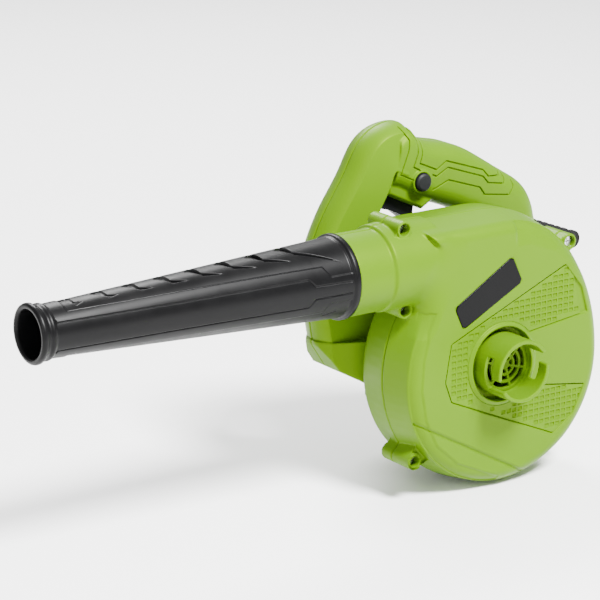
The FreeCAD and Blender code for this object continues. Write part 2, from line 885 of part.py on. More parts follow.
def inlet_grille():
    """Finger guard of rings on crossed spokes, seated behind the collar."""
    front = S.collar_deep + 0.6
    back = S.face_y - 0.6
    rings = []
    for index, (outer, inner) in enumerate(((18.85, 16.4), (13.2, 11.2), (8, 6), (3.2, 0))):
        if inner:
            rings.append(tube(f"guard_ring{index}", outer, inner, front, back))
        else:
            rings.append(rod(f"guard_hub{index}", outer, front, back))
    spokes = []
    for index in range(3):
        spoke = doc.addObject("Part::Box", f"guard_spoke{index}")
        spoke.Length = 35
        bind(spoke, "Width", back - front)
        spoke.Height = 1.8
        turn = Rotation(Vector(0, 1, 0), 60 * index + 15)
        corner = turn.multVec(Vector(-17.5, 0, -0.9))
        put(spoke, (corner.x, front, corner.z), turn)
        spokes.append(spoke)
    return node(fuse("guard", *rings, *spokes), "inlet_grille")


def label_plate():
    """Blank badge in its shallow seat on the cover, with clipped corners."""
    face = float(S.face_y)
    corners = [Vector(x, 0, z) for x, z in LABEL]
    middle = (corners[0] + corners[1] + corners[2] + corners[3]) * 0.25
    points = []
    for index, corner in enumerate(corners):
        before = corners[index - 1] - corner
        after = corners[(index + 1) % 4] - corner
        inward = (middle - corner).normalize() * 0.5
        for edge in (before, after):
            spot = corner + inward + edge.normalize() * 2.2
            points.append((spot.x, spot.z))
    body = padded("badge", points, S.face_y - 0.5, S.face_y + LABEL_DEEP)
    return node(body, "label_plate")


def nozzle_tube():
    """Tapered blow tube with a rolled lip, an end flange and a spigot with two bayonet lugs."""
    far = -S.nozzle_reach
    near = -S.duct_reach
    wall = S.nozzle_skin
    points = [
        (far, S.nozzle_mouth),
        (far, S.nozzle_lip - 1.4),
        (far + 1.2, S.nozzle_lip),
        (far + 3.6, S.nozzle_lip),
        (far + 5, S.nozzle_lip - 1.6),
        (far + 8, S.nozzle_small + 0.4),
        (far + 9, S.nozzle_small + 1.3),
        (far + 11, S.nozzle_small + 1.3),
        (far + 12, S.nozzle_small + 0.2),
        (near - 5, S.nozzle_big - 0.9),
        (near - 4, S.nozzle_big + 0.5),
        (near - 0.3, S.nozzle_big + 0.5),
        (near - 0.3, S.spigot_r),
        (near + 24, S.spigot_r),
        (near + 24, S.spigot_r - wall),
        (near - 4, S.spigot_r - wall),
        (far + 14, S.nozzle_mouth),
    ]
    body = turned("blow_tube", points, (0, S.seam_y, S.duct_z), Rotation())
    lugs = []
    for index, turn in enumerate((0, 180)):
        lug = new_body(f"lug{index}", (near + 8.2, S.seam_y, S.duct_z), Rotation(Vector(1, 0, 0), turn + 35))
        low = S.spigot_r - 1
        corners = [(0, -2.8), (5.2, -2.8), (5.2, 2.8), (0, 2.8)]
        sketch = outline(lug, "XY_Plane", corners)
        pad = lug.newObject("PartDesign::Pad", f"lug{index}_pad")
        pad.Profile = sketch
        bind(pad, "Length", S.lug_out - 0.3)
        core = rod(f"lug{index}_core", low, near + 6, near + 16, (S.seam_y, S.duct_z), "X")
        lugs.append(cut(f"lug{index}_outer", lug, core))
    return node(fuse("nozzle", body, *lugs), "nozzle_tube")


# ---------------------------------------------------------------- fan and rotor


def impeller():
    """Open radial fan: back plate, hub and backward-leaning blades."""
    body = new_body("fan")
    body.Placement.Rotation = Rotation(Vector(0, 0, 1), 90)
    thick = 2.4
    profile = [
        (S.fan_front + 8, S.shaft_r + 0.03),
        (S.fan_front + 8, S.fan_hub - 3),
        (S.fan_back - 12, S.fan_hub),
        (S.fan_back - thick, S.fan_hub + 7),
        (S.fan_back - thick, S.fan_r),
        (S.fan_back, S.fan_r),
        (S.fan_back, S.shaft_r + 0.03),
    ]
    sketch = outline(body, "XY_Plane", profile)
    plate = body.newObject("PartDesign::Revolution", "fan_plate")
    plate.Profile = sketch
    plate.ReferenceAxis = (sketch, ["H_Axis"])
    plate.Angle = 360
    blades = []
    for index in range(10):
        blade = doc.addObject("Part::Box", f"fan_blade{index}")
        bind(blade, "Length", S.fan_r - S.fan_eye - 1)
        bind(blade, "Width", S.fan_back - S.fan_front - 1)
        blade.Height = 1.8
        turn = Rotation(Vector(0, 1, 0), 36 * index)
        lean = turn.multiply(Rotation(Vector(0, 1, 0), 24))
        root = turn.multVec(Vector(float(S.fan_eye), 0, 0))
        put(blade, (root.x, S.fan_front, root.z), lean)
        blades.append(blade)
    rim = rod("fan_trim", S.fan_r, S.fan_front - 1, S.fan_back + 1)
    spokes = fuse("fan_blades", *blades)
    trimmed = doc.addObject("Part::Common", "fan_blades_trimmed")
    trimmed.Base = spokes
    trimmed.Tool = rim
    return node(fuse("fan_whole", body, trimmed), "impeller")


def motor_shaft():
    points = [
        (S.shaft_front, 0),
        (S.shaft_front, S.shaft_r - 0.8),
        (S.shaft_front + 0.8, S.shaft_r),
        (S.shaft_back - 0.8, S.shaft_r),
        (S.shaft_back, S.shaft_r - 0.8),
        (S.shaft_back, 0),
    ]
    return node(turned("shaft", points), "motor_shaft")


NUT_R = 6.5


def hex_nut():
    """Nut that clamps the fan to the shaft."""
    body = new_body("nut", (0, S.fan_front + 1, 0))
    corners = [heading(60 * index) * NUT_R for index in range(6)]
    sketch = outline(body, "XZ_Plane", [(corner.x, corner.z) for corner in corners])
    pad = body.newObject("PartDesign::Pad", "nut_pad")
    pad.Profile = sketch
    pad.Length = 5.6
    pad.Reversed = True
    hole = rod("nut_hole", S.shaft_r + 0.03, S.fan_front - 2, S.fan_front + 8)
    return node(cut("nut_whole", body, hole), "impeller_nut")


def impeller_washer():
    return node(tube("washer", 8, S.shaft_r + 0.03, S.fan_front + 6.7, S.fan_front + 7.9), "impeller_washer")


def cooling_fan():
    """Small fan that draws air through the motor."""
    disc = tube("cool_disc", 34, S.shaft_r + 0.03, S.cool_back - 2, S.cool_back)
    hub = tube("cool_hub", 9, S.shaft_r + 0.03, S.cool_front + 1, S.cool_back)
    blades = []
    for index in range(12):
        blade = doc.addObject("Part::Box", f"cool_blade{index}")
        blade.Length = 21
        bind(blade, "Width", S.cool_back - S.cool_front - 1.5)
        blade.Height = 1.2
        turn = Rotation(Vector(0, 1, 0), 30 * index)
        root = turn.multVec(Vector(12, 0, 0))
        put(blade, (root.x, S.cool_front, root.z), turn)
        blades.append(blade)
    return node(fuse("cool_whole", disc, hub, *blades), "cooling_fan")


def armature():
    """Slotted core, its end windings and the commutator."""
    core = tube("core_round", S.core_r, S.shaft_r + 0.03, S.core_front, S.core_back)
    slots = []
    for index in range(12):
        slot = doc.addObject("Part::Box", f"core_slot{index}")
        slot.Length = 9
        bind(slot, "Width", S.core_back - S.core_front + 2)
        slot.Height = 2.4
        turn = Rotation(Vector(0, 1, 0), 30 * index)
        root = turn.multVec(Vector(13.5, 0, -1.2))
        put(slot, (root.x, S.core_front - 1, root.z), turn)
        slots.append(slot)
    node(cut("core_whole", core, fuse("core_slots", *slots)), "armature_core")
    ends = []
    for index, (start, end) in enumerate(((102, 107), (137, 142))):
        points = [(start, 6), (start, 15), (start + 1.5, 19), (end - 1.5, 19), (end, 17.5), (end, 6)]
        ends.append(turned(f"winding{index}", points))
    node(fuse("windings", *ends), "armature_windings")
    drum = tube("drum", S.commutator_r, S.shaft_r + 0.03, S.commutator_front, S.commutator_back)
    grooves = []
    for index in range(24):
        groove = doc.addObject("Part::Box", f"drum_groove{index}")
        groove.Length = 2
        groove.Width = 12
        groove.Height = 0.5
        turn = Rotation(Vector(0, 1, 0), 15 * index)
        root = turn.multVec(Vector(float(S.commutator_r) - 1, 0, -0.25))
        put(groove, (root.x, 142, root.z), turn)
        grooves.append(groove)
    node(cut("drum_whole", drum, fuse("drum_grooves", *grooves)), "commutator")


def bearing(label, start, width):
    """Ball bearing: outer ring, inner ring and shields as one turned piece."""
    inner = S.shaft_r + 0.04
    outer = S.bearing_r - 0.02
    points = [
        (start, inner),
        (start, inner + 2),
        (start + 0.6, inner + 2),
        (start + 0.6, outer - 2),
        (start, outer - 2),
        (start, outer),
        (start + width, outer),
        (start + width, outer - 2),
        (start + width - 0.6, outer - 2),
        (start + width - 0.6, inner + 2),
        (start + width, inner + 2),
        (start + width, inner),
    ]
    return node(turned(label + "_ring", points), label)


def stator():
    """Laminated ring with two poles, and a coil around each pole."""
    ring = tube("yoke", S.stator_r, S.stator_r - 6, S.core_front, S.core_back)
    poles = []
    coils = []
    for index, middle in enumerate((90, 270)):
        pole = sector(f"pole{index}", S.stator_r - 4, 42, middle, S.core_front, S.core_back)
        gap = rod(f"pole{index}_bore", S.stator_bore, S.core_front - 1, S.core_back + 1)
        poles.append(cut(f"pole{index}_cut", pole, gap))
        fat = sector(f"coil{index}_fat", S.stator_r - 7, 62, middle, S.core_front - 6, S.core_back + 6)
        bore = rod(f"coil{index}_bore", S.stator_bore + 3.5, S.core_front - 8, S.core_back + 8)
        inside = sector(f"coil{index}_inside", S.stator_r, 43, middle, S.core_front - 0.8, S.core_back + 0.8)
        coils.append(cut(f"coil{index}_loop", cut(f"coil{index}_band", fat, bore), inside))
    node(fuse("stator_whole", ring, *poles), "stator_core")
    node(fuse("coils_whole", *coils), "field_coils")


def brush_gear():
    """Two sprung carbon brushes in holders on opposite sides of the commutator, under screw caps."""
    holders = []
    brushes = []
    springs = []
    caps = []
    for index, side in enumerate((-1, 1)):
        def span(inner, outer):
            return sorted((side * inner, side * outer))
        low, high = span(14.5, 43.5)
        sleeve = rod(f"holder{index}_rod", 5, low, high, (S.brush_y, 0), "X")
        way = block(f"holder{index}_way", (low - 1, S.brush_y - 2.6, -3.1), (high + 1, S.brush_y + 2.6, 3.1))
        holders.append(cut(f"holder{index}", sleeve, way))
        low, high = span(12.05, 26)
        brushes.append(block(f"brush{index}", (low, S.brush_y - 2.5, -3), (high, S.brush_y + 2.5, 3)))
        low, high = span(26.1, 43.2)
        springs.append(tube(f"spring{index}", 2.3, 1.5, low, high, (S.brush_y, 0), "X"))
        low, high = span(43.6, 49.6)
        body = rod(f"cap{index}_body", 5.1, low, high, (S.brush_y, 0), "X")
        low, high = span(48.4, 50.6)
        slot = block(f"cap{index}_slot", (low, S.brush_y - 4, -0.6), (high, S.brush_y + 4, 0.6))
        caps.append(cut(f"cap{index}", body, slot))
    node(fuse("holders", *holders), "brush_holders")
    node(fuse("brushes", *brushes), "carbon_brushes")
    node(fuse("brush_coils", *springs), "brush_springs")
    node(fuse("brush_caps_all", *caps), "brush_caps")


# ---------------------------------------------------------------- switch, trigger and cord entry


def trigger():
    """Finger trigger that swings on a pin at its front."""
    middle = float(S.split_y)
    points = [
        (-44.6, 115.6),
        (-39.5, 116.4),
        (-19, 106),
        (-16.4, 99),
        (-17.6, 89.6),
        (-21.5, 88.2),
        (-28, 93.2),
        (-36, 97),
        (-44.5, 99.6),
        (-47.6, 102.2),
        (-45.3, 107),
    ]
    body = padded("lever", points, middle - 7.4, middle + 7.4)
    hole = rod("lever_hole", S.pin_r + 0.05, middle - 9, middle + 9, (S.pivot_x, S.pivot_z))
    return node(cut("lever_whole", body, hole), "trigger")


def trigger_pin():
    pin = rod("pin", S.pin_r, S.split_y - S.pin_half, S.split_y + S.pin_half, (S.pivot_x, S.pivot_z))
    return node(pin, "trigger_pin")


def lock_button():
    """Round push button with a bevelled face."""
    front = float(S.loop_front)
    points = [
        (front - 4, 0),
        (front - 4, S.button_r - 1.4),
        (front - 2.9, S.button_r),
        (front + 9, S.button_r),
        (front + 9, 0),
    ]
    return node(turned("button", points, (S.button_x, 0, S.button_z)), "lock_button")


SPRING_TOP = 119  # the trigger spring's fixed end, on the switch's shelf


def switch_gear():
    """Switch with its plunger, the trigger's and the button's springs, and the interference capacitor."""
    middle = float(S.split_y)
    case = block("switch_case", (-20, middle - 8.5, 112.5), (10, middle + 8.5, 127))
    shelf = block("switch_shelf", (-35, middle - 8.5, SPRING_TOP), (-20, middle + 8.5, 127))
    plunger = block("switch_plunger", (-17, middle - 3, 110.6), (-12, middle + 3, 113))
    node(fuse("switch_whole", case, shelf, plunger), "switch_body")
    node(tube("return_coil", 2.6, 1.9, 113.2, SPRING_TOP, (-30, middle), "Z"), "trigger_spring")
    spot = (S.button_x, S.button_z)
    node(tube("button_coil", 3.4, 2.6, S.loop_front + 9.1, middle - 8.6, spot, "Y"), "lock_spring")
    node(block("capacitor_box", (13, middle - 7, 97), (17, middle + 7, 110)), "capacitor")


def cord_entry():
    """Ribbed cord gland in the rear post, with the clamp that grips the cord inside."""
    tilt = float(S.gland_tilt)
    spot = (S.gland_x, S.split_y, S.gland_z)
    radius = S.gland_r
    stop = -8
    points = [
        (stop, S.cord_r),
        (stop, radius),
        (-6, radius),
        (-6, radius + 2),
        (-4, radius + 2),
        (-4, radius),
        (6, radius),
    ]
    ribs = 6
    pitch = 6.2
    for index in range(ribs):
        start = 8.5 + pitch * index
        slim = radius - 0.9
        points += [(start - 1.8, slim), (start, slim)]
        points += [(start + 0.6, radius - 0.1), (start + 3, radius - 0.1)]
    points += [
        (S.gland_long - 6.2, radius - 0.8),
        (S.gland_long - 5, radius + 0.1),
        (S.gland_long - 1, radius + 0.1),
        (S.gland_long, radius - 0.7),
        (S.gland_long, S.cord_r),
    ]
    node(turned("gland", points, spot, Rotation(Vector(0, 1, 0), tilt)), "cord_gland")
    node(block("clamp_bar", (60, S.split_y - 15.7, 80.2), (66, S.split_y + 15.7, 83.2)), "cord_clamp")


def screw(name, head, tip, x, z, inward=1):
    """Pan-head screw along Y with a cross recess; its head bears at the head station."""
    high = head - 2.6 * inward
    cap = rod(f"{name}_head", S.screw_head_r, *sorted((high, head)), (x, z))
    shank = rod(f"{name}_shank", S.screw_r, *sorted((head, tip)), (x, z))
    deep = high + 1.4 * inward
    low, top = sorted((high - 0.5 * inward, deep))
    one = block(f"{name}_slot_a", (x - 2, low, z - 0.4), (x + 2, top, z + 0.4))
    two = block(f"{name}_slot_b", (x - 0.4, low, z - 2), (x + 0.4, top, z + 2))
    return cut(name, fuse(f"{name}_body", cap, shank), fuse(f"{name}_slots", one, two))


def screws():
    covers = []
    for index, (x, z, front, back, _) in enumerate(BOSSES.values()):
        covers.append(screw(f"cover_screw{index}", bore_floor(front), back - 2, x, z))
    node(fuse("cover_screw_set", *covers), "cover_screws")
    rears = []
    for index, (x, z) in enumerate(HOUSING_SCREWS):
        rears.append(screw(f"rear_screw{index}", HEAD_SEAT, float(S.split_y) - POST_DEEP + 2, x, z, -1))
    node(fuse("rear_screw_set", *rears), "housing_screws")


# ---------------------------------------------------------------- assembly, checks and files


def check(item):
    """Stops the build when an object failed or its shape isn't sound."""
    if {"Invalid", "Error"} & set(item.State):
        raise RuntimeError(f"{item.Label}: {item.State}")


def write_parts():
    os.makedirs("parts", exist_ok=True)
    for item in doc.Objects:
        check(item)
    for item in nodes:
        shape = item.Shape
        if shape.isNull() or not shape.isValid() or not shape.Solids:
            raise RuntimeError(f"{item.Label} has no sound solid")
        shape.exportStep(os.path.join("parts", item.Label + ".step"))
        box = shape.BoundBox
        spans = [(box.XMin, box.XMax), (box.YMin, box.YMax), (box.ZMin, box.ZMax)]
        written = "  ".join(f"{low:7.1f} {high:7.1f}" for low, high in spans)
        print(f"{item.Label:20s} {len(shape.Solids):3d} {shape.Volume / 1000:9.2f} cm3  {written}")


handle = handle_solids()
shell_node("volute_cover", volute_cover())
shell_node("middle_housing", middle_housing(handle))
shell_node("rear_housing", rear_housing(handle))
inlet_grille()
label_plate()
nozzle_tube()
impeller()
impeller_washer()
hex_nut()
motor_shaft()
cooling_fan()
armature()
bearing("front_bearing", S.back_y + 1.1, 7)
bearing("rear_bearing", S.tail_y - 11, 7)
stator()
brush_gear()
trigger()
trigger_pin()
lock_button()
switch_gear()
cord_entry()
screws()
doc.recompute()
write_parts()
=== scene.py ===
"""Looks of a corded leaf blower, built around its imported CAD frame.

Every object is in metres. Shape constants are in millimetres where they are multiplied by MM.
"""

import json
import math

import bmesh
import bpy
import numpy as np
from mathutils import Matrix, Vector


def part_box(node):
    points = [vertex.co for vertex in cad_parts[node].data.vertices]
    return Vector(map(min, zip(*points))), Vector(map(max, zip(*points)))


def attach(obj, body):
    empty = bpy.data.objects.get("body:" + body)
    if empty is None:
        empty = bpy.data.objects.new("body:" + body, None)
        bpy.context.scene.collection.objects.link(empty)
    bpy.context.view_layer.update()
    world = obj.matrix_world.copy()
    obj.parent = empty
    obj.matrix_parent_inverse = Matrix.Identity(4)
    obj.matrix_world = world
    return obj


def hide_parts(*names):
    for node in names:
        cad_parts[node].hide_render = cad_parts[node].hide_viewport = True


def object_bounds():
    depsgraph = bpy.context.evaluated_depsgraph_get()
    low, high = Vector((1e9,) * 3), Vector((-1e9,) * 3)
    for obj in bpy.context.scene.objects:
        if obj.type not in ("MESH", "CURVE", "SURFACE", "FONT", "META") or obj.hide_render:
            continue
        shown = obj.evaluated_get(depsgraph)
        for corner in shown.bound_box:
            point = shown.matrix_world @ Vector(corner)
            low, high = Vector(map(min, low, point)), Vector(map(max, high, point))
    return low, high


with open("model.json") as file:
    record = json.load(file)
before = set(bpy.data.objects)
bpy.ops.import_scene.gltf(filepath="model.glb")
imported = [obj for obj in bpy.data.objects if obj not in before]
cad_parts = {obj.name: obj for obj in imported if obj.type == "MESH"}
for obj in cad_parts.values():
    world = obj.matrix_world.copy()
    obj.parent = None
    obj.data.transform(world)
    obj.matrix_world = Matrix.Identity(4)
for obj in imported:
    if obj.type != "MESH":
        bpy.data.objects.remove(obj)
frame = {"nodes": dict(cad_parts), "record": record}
cad_low, cad_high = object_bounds()
MM = 0.001

# ---------------------------------------------------------------- materials

NOISE_LOW = 0.3  # most of a noise's values lie between these two
NOISE_HIGH = 0.7
GREEN = (0.062, 0.14, 0.0)
GREEN_SHINE = (0.8, 1, 0.1, 1)


class Paint:
    """One procedural material, built node by node."""

    def __init__(self, name, color, roughness, **shader):
        self.material = bpy.data.materials.new(name)
        self.material.use_nodes = True
        self.nodes = self.material.node_tree.nodes
        self.links = self.material.node_tree.links
        self.shader = self.nodes["Principled BSDF"]
        self.shader.inputs["Base Color"].default_value = (*color, 1)
        self.shader.inputs["Roughness"].default_value = roughness
        for socket, value in shader.items():
            self.shader.inputs[socket.replace("_", " ")].default_value = value
        self.color = color
        self.where = self.nodes.new("ShaderNodeTexCoord").outputs["Object"]

    def noise(self, scale, detail=3, stretch=None):
        node = self.nodes.new("ShaderNodeTexNoise")
        node.inputs["Scale"].default_value = scale
        node.inputs["Detail"].default_value = detail
        place = self.where
        if stretch:
            mapping = self.nodes.new("ShaderNodeMapping")
            mapping.inputs["Scale"].default_value = stretch
            self.links.new(place, mapping.inputs["Vector"])
            place = mapping.outputs["Vector"]
        self.links.new(place, node.inputs["Vector"])
        return node.outputs["Fac"]

    def spread(self, source, low, high):
        """Maps a noise to a range of values."""
        node = self.nodes.new("ShaderNodeMapRange")
        limits = {"From Min": NOISE_LOW, "From Max": NOISE_HIGH, "To Min": low, "To Max": high}
        for socket, value in limits.items():
            node.inputs[socket].default_value = value
        self.links.new(source, node.inputs["Value"])
        return node.outputs["Result"]

    def mottle(self, scale, shade):
        """Slow colour variation between the colour and a share of it."""
        ramp = self.nodes.new("ShaderNodeValToRGB")
        ramp.color_ramp.elements[0].position = NOISE_LOW
        ramp.color_ramp.elements[0].color = (*[part * shade for part in self.color], 1)
        ramp.color_ramp.elements[1].position = NOISE_HIGH
        ramp.color_ramp.elements[1].color = (*self.color, 1)
        self.links.new(self.noise(scale), ramp.inputs["Fac"])
        self.links.new(ramp.outputs["Color"], self.shader.inputs["Base Color"])

    def polish(self, scale, low, high, stretch=None):
        """Roughness that varies between two values."""
        wear = self.noise(scale, detail=4, stretch=stretch)
        self.links.new(self.spread(wear, low, high), self.shader.inputs["Roughness"])

    def grain(self, scale, depth, strength, stretch=None):
        """Fine bump of a moulded, ground or cast surface."""
        bump = self.nodes.new("ShaderNodeBump")
        bump.inputs["Distance"].default_value = depth
        bump.inputs["Strength"].default_value = strength
        self.links.new(self.noise(scale, detail=2, stretch=stretch), bump.inputs["Height"])
        self.links.new(bump.outputs["Normal"], self.shader.inputs["Normal"])


def green_plastic():
    paint = Paint("green_shell", GREEN, 0.42, Specular_IOR_Level=0.2, Specular_Tint=GREEN_SHINE)
    paint.mottle(scale=9, shade=0.95)
    paint.polish(scale=60, low=0.38, high=0.47)
    paint.grain(scale=2600, depth=0.00012, strength=0.12)
    return paint.material


def black_plastic():
    paint = Paint("black_plastic", (0.002, 0.002, 0.0022), 0.36, Specular_IOR_Level=0.11)
    paint.mottle(scale=14, shade=0.8)
    paint.polish(scale=70, low=0.31, high=0.41)
    paint.grain(scale=2400, depth=0.00012, strength=0.12)
    return paint.material


def button_plastic():
    paint = Paint("black_button", (0.004, 0.0045, 0.0055), 0.5, Specular_IOR_Level=0.2)
    paint.mottle(scale=60, shade=0.8)
    paint.polish(scale=300, low=0.5, high=0.62)
    paint.grain(scale=3200, depth=0.0002, strength=0.35)
    return paint.material


def label_film():
    paint = Paint("label", (0.001, 0.001, 0.0012), 0.2, Specular_IOR_Level=0.08)
    paint.mottle(scale=40, shade=0.7)
    paint.polish(scale=90, low=0.18, high=0.26)
    return paint.material


def rubber():
    paint = Paint("rubber", (0.004, 0.004, 0.0042), 0.65, Specular_IOR_Level=0.15)
    paint.mottle(scale=80, shade=0.75)
    paint.polish(scale=200, low=0.6, high=0.75)
    paint.grain(scale=2200, depth=0.0003, strength=0.3)
    return paint.material


def fan_nylon():
    paint = Paint("fan_plastic", (0.01, 0.01, 0.011), 0.5, Specular_IOR_Level=0.3)
    paint.mottle(scale=50, shade=0.8)
    paint.polish(scale=120, low=0.42, high=0.58)
    paint.grain(scale=1800, depth=0.0002, strength=0.2)
    return paint.material


def metal(name, color, low, high, stretch=None):
    paint = Paint(name, color, low, Metallic=1.0)
    paint.mottle(scale=120, shade=0.85)
    paint.polish(400, low, high, stretch)
    paint.grain(scale=1500, depth=0.00006, strength=0.15, stretch=stretch)
    return paint.material


def carbon():
    paint = Paint("carbon", (0.03, 0.03, 0.032), 0.6)
    paint.mottle(scale=300, shade=0.6)
    paint.polish(scale=500, low=0.5, high=0.7)
    paint.grain(scale=2500, depth=0.0002, strength=0.3)
    return paint.material


def film_case():
    paint = Paint("film_plastic", (0.55, 0.4, 0.06), 0.3)
    paint.mottle(scale=80, shade=0.9)
    paint.polish(scale=200, low=0.25, high=0.35)
    paint.grain(scale=1500, depth=0.0001, strength=0.1)
    return paint.material


MATERIALS = {
    "green_shell": green_plastic(),
    "black_plastic": black_plastic(),
    "black_button": button_plastic(),
    "label": label_film(),
    "rubber": rubber(),
    "fan_plastic": fan_nylon(),
    "steel": metal("steel", (0.56, 0.56, 0.58), 0.25, 0.4, (1, 12, 1)),
    "zinc": metal("zinc", (0.62, 0.62, 0.64), 0.2, 0.34),
    "laminations": metal("laminations", (0.3, 0.3, 0.32), 0.4, 0.55, (1, 40, 1)),
    "copper": metal("copper", (0.72, 0.3, 0.12), 0.3, 0.45, (1, 1, 30)),
    "brass": metal("brass", (0.75, 0.52, 0.2), 0.25, 0.4),
    "carbon": carbon(),
    "film_plastic": film_case(),
}
SLOTS = {part["node"]: part["material_slot"] for part in frame["record"]["subparts"]}
BODY_OF = {}
for body, members in frame["record"]["behaviour"]["bodies"].items():
    for member in members:
        BODY_OF[member] = body


def dress(piece, slot):
    piece.data.materials.clear()
    piece.data.materials.append(MATERIALS[slot])


for node_name, item in frame["nodes"].items():
    dress(item, SLOTS[node_name])

# ---------------------------------------------------------------- mesh helpers

# In millimetres, but for the share
GROOVE_MARGIN = 0.7  # how far beside a groove the mesh is made finer
GROOVE_FLOOR = 0.35  # the flat share of a groove's half width
PART_REACH = (0.15, 0.85)  # a parting line is full up to the first distance and gone at the second
PART_ROUND = 0.45
PART_GAP = 0.5


def add_piece(name, mesh, slot, body):
    piece = bpy.data.objects.new(name, mesh)
    bpy.context.scene.collection.objects.link(piece)
    dress(piece, slot)
    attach(piece, body)
    return piece


def finished(piece):
    """The mesh of an object with its modifiers applied; the object is removed."""
    graph = bpy.context.evaluated_depsgraph_get()
    mesh = bpy.data.meshes.new_from_object(piece.evaluated_get(graph))
    bpy.data.objects.remove(piece)
    return mesh


def loose_copy(node):
    source = frame["nodes"][node]
    copy = bpy.data.objects.new(node + "_work", source.data.copy())
    bpy.context.scene.collection.objects.link(copy)
    weld = copy.modifiers.new("weld", "WELD")
    weld.merge_threshold = 0.01 * MM
    return copy


def points_of(mesh):
    spots = np.empty(len(mesh.vertices) * 3, np.float32)
    mesh.vertices.foreach_get("co", spots)
    return spots.reshape(-1, 3).astype(float)


def normals_of(mesh):
    found = np.empty(len(mesh.vertices) * 3, np.float32)
    mesh.vertices.foreach_get("normal", found)
    return found.reshape(-1, 3).astype(float)


def set_points(mesh, spots):
    mesh.vertices.foreach_set("co", spots.astype(np.float32).ravel())
    mesh.update()


def soft_copy(node, voxel, rounds):
    """Copy of a CAD node with the small soft edges of a moulding."""
    copy = loose_copy(node)
    remesh = copy.modifiers.new("remesh", "REMESH")
    remesh.mode = "VOXEL"
    remesh.voxel_size = voxel
    smooth = copy.modifiers.new("smooth", "SMOOTH")
    smooth.factor = 0.5
    smooth.iterations = rounds
    mesh = finished(copy)
    mesh.shade_smooth()
    return mesh


def line_distance(across, up, route):
    """Distance of every point to a route of straight runs, in the route's own plane."""
    nearest = np.full(len(across), np.inf)
    for (x0, z0), (x1, z1) in zip(route, route[1:]):
        run = np.array((x1 - x0, z1 - z0))
        share = ((across - x0) * run[0] + (up - z0) * run[1]) / (run @ run)
        share = np.clip(share, 0, 1)
        gap = np.hypot(across - x0 - share * run[0], up - z0 - share * run[1])
        nearest = np.minimum(nearest, gap)
    return nearest


def soft_step(values, low, high):
    share = np.clip((values - low) / (high - low), 0, 1)
    return share * share * (3 - 2 * share)


def refined(mesh, wanted):
    """Halves the edges of the faces whose corners are all wanted."""
    sketch = bmesh.new()
    sketch.from_mesh(mesh)
    faces = [face for face in sketch.faces if all(wanted[corner.index] for corner in face.verts)]
    edges = {edge for face in faces for edge in face.edges}
    bmesh.ops.subdivide_edges(sketch, edges=list(edges), cuts=1, use_grid_fill=True)
    sketch.to_mesh(mesh)
    sketch.free()
    mesh.shade_smooth()


def engrave(mesh, routes, half_width, depth, facing):
    """Cuts grooves into a dense mesh along routes in X and Z, wherever facing() allows it."""

    def near(reach):
        spots = points_of(mesh)
        gap = np.min([line_distance(spots[:, 0], spots[:, 2], route) for route in routes], axis=0)
        return gap, (gap < reach) & facing(spots, normals_of(mesh))

    for _ in range(2):
        refined(mesh, near(half_width + GROOVE_MARGIN * MM)[1])
    gap, grooved = near(half_width)
    spots = points_of(mesh)
    sink = depth * (1 - soft_step(gap, GROOVE_FLOOR * half_width, half_width)) * grooved
    set_points(mesh, spots - normals_of(mesh) * sink[:, None])


def spread_smooth(mesh, share, rounds):
    """Relaxes a dense mesh where the share is above zero, so that hollow corners fill softly."""
    spots = points_of(mesh)
    ends = np.empty(len(mesh.edges) * 2, np.int32)
    mesh.edges.foreach_get("vertices", ends)
    ends = ends.reshape(-1, 2)
    source = np.concatenate((ends[:, 0], ends[:, 1]))
    target = np.concatenate((ends[:, 1], ends[:, 0]))
    picked = np.flatnonzero(share > 0)
    local = np.full(len(spots), -1)
    local[picked] = np.arange(len(picked))
    used = local[target] >= 0
    source, target = source[used], local[target[used]]
    count = np.bincount(target, minlength=len(picked))[:, None]
    pull = share[picked][:, None]
    for _ in range(rounds):
        sums = [np.bincount(target, spots[source, axis], len(picked)) for axis in range(3)]
        spots[picked] += (np.stack(sums, 1) / count - spots[picked]) * pull
    set_points(mesh, spots)


def part_line(mesh, station, side):
    """Soft edge and narrow gap around a shell, at the station along Y where it meets the next."""
    spots = points_of(mesh)
    near = 1 - soft_step(np.abs(spots[:, 1] - station), PART_REACH[0] * MM, PART_REACH[1] * MM)
    shift = -normals_of(mesh) * PART_ROUND * MM
    shift[:, 1] = side * PART_GAP * MM / 2
    set_points(mesh, spots + shift * near[:, None])


def side_of(x, z, start, end):
    """Distance to the left of a straight line, with a sign."""
    run = np.array((end[0] - start[0], end[1] - start[1]))
    run = run / np.hypot(*run)
    return run[0] * (z - start[1]) - run[1] * (x - start[0])


def prism(name, corners, front, back):
    """Closed solid with an outline in X and Z, between two stations along Y."""
    mesh = bpy.data.meshes.new(name)
    sketch = bmesh.new()
    face = sketch.faces.new([sketch.verts.new((x, front, z)) for x, z in corners])
    swept = bmesh.ops.extrude_face_region(sketch, geom=[face])
    moved = [part for part in swept["geom"] if isinstance(part, bmesh.types.BMVert)]
    bmesh.ops.translate(sketch, verts=moved, vec=(0, back - front, 0))
    bmesh.ops.recalc_face_normals(sketch, faces=sketch.faces)
    sketch.to_mesh(mesh)
    sketch.free()
    return mesh


def carve(mesh, *tools):
    """The mesh less the tools."""
    base = bpy.data.objects.new("carve_base", mesh)
    bpy.context.scene.collection.objects.link(base)
    helpers = []
    for tool in tools:
        helper = bpy.data.objects.new("carve_tool", tool)
        bpy.context.scene.collection.objects.link(helper)
        helpers.append(helper)
        cutter = base.modifiers.new("cut", "BOOLEAN")
        cutter.operation = "DIFFERENCE"
        cutter.solver = "EXACT"
        cutter.object = helper
    result = finished(base)
    for helper in helpers:
        bpy.data.objects.remove(helper)
    return result


def in_metres(points):
    return [(x * MM, z * MM) for x, z in points]


